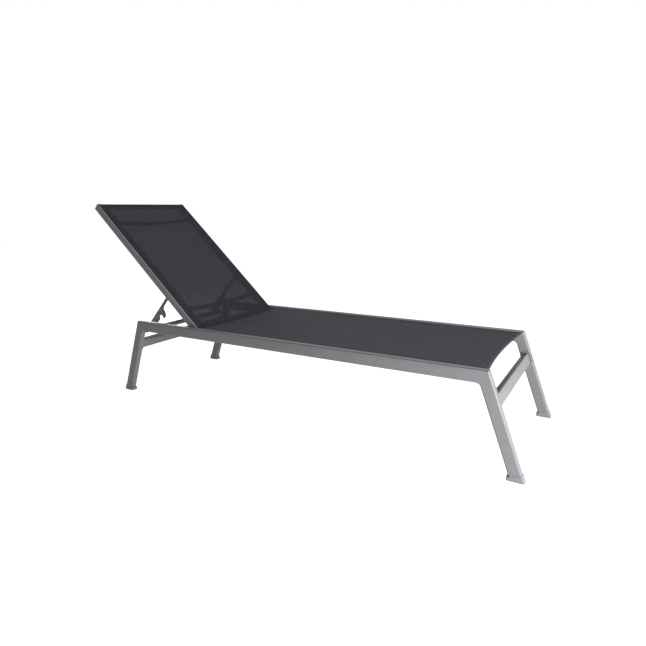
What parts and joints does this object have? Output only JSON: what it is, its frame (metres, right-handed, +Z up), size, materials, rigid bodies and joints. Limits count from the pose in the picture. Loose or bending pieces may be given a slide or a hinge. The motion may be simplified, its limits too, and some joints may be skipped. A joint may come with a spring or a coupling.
{
  "type": "chaise lounge",
  "caption": "Outdoor sling chaise lounge with splayed oval legs and a reclining back held up by two hooked prop arms on a crossbar.",
  "frame": {"origin": "on the floor, in the middle of the whole chaise's length and width, back propped up", "axes": "+X towards the foot end, +Y across to the user's left when seated, +Z up"},
  "size_m": [2.1603, 0.679, 0.9547],
  "materials": {
    "grey_paint": "satin powder coat on aluminium tube",
    "dark_mesh": "woven vinyl-coated polyester mesh",
    "vinyl_cord": "matte",
    "grey_plastic": "matte moulded",
    "grey_plastic_foot": "matte moulded",
    "black_nylon": "matte moulded",
    "stainless": "bright fasteners"
  },
  "bodies": {
    "frame": {"foot_glide_left": "grey_plastic_foot", "foot_glide_right": "grey_plastic_foot", "foot_leg_left": "grey_paint", "foot_leg_right": "grey_paint", "foot_stretcher": "grey_paint", "head_glide_left": "grey_plastic_foot", "head_glide_right": "grey_plastic_foot", "head_leg_left": "grey_paint", "head_leg_right": "grey_paint", "head_stretcher": "grey_paint", "hinge_bolts": "stainless", "hinge_inserts": "stainless", "hinge_spacers": "black_nylon", "hinge_washers": "stainless", "prop_crossbar": "grey_paint", "seat_rail_left": "grey_paint", "seat_rail_right": "grey_paint", "seat_sling": "dark_mesh", "seat_spline_left": "vinyl_cord", "seat_spline_right": "vinyl_cord", "seat_spreader_foot": "grey_paint", "seat_spreader_head": "grey_paint", "sling_stop_plugs": "grey_plastic"},
    "back": {"back_lower_brace": "grey_paint", "back_lower_caps": "grey_plastic", "back_rail_left": "grey_paint", "back_rail_right": "grey_paint", "back_sling": "dark_mesh", "back_spline_left": "vinyl_cord", "back_spline_right": "vinyl_cord", "back_top_bar": "grey_paint", "back_upper_brace": "grey_paint", "back_upper_caps": "grey_plastic", "hinge_bushes": "black_nylon", "prop_pivot_bolts": "stainless", "prop_pivot_bosses": "grey_paint", "prop_pivot_washers": "stainless"},
    "prop_arm_right": {"prop_arm_bush_right": "black_nylon", "prop_arm_right": "grey_paint"},
    "prop_arm_left": {"prop_arm_bush_left": "black_nylon", "prop_arm_left": "grey_paint"}
  },
  "joints": [
    {"name": "back_recline", "type": "hinge", "parent": "frame", "child": "back", "pos_m": [-0.42335, 0, 0.3528], "axis": [0, 1, 0], "range_deg": [0, 47.6]},
    {"name": "prop_swing_right", "type": "hinge", "parent": "back", "child": "prop_arm_right", "pos_m": [-0.62502, -0.233, 0.53695], "axis": [0, 1, 0], "range_deg": [0, 90]},
    {"name": "prop_swing_left", "type": "hinge", "parent": "back", "child": "prop_arm_left", "pos_m": [-0.62502, 0.233, 0.53695], "axis": [0, 1, 0], "range_deg": [0, 90]}
  ]
}
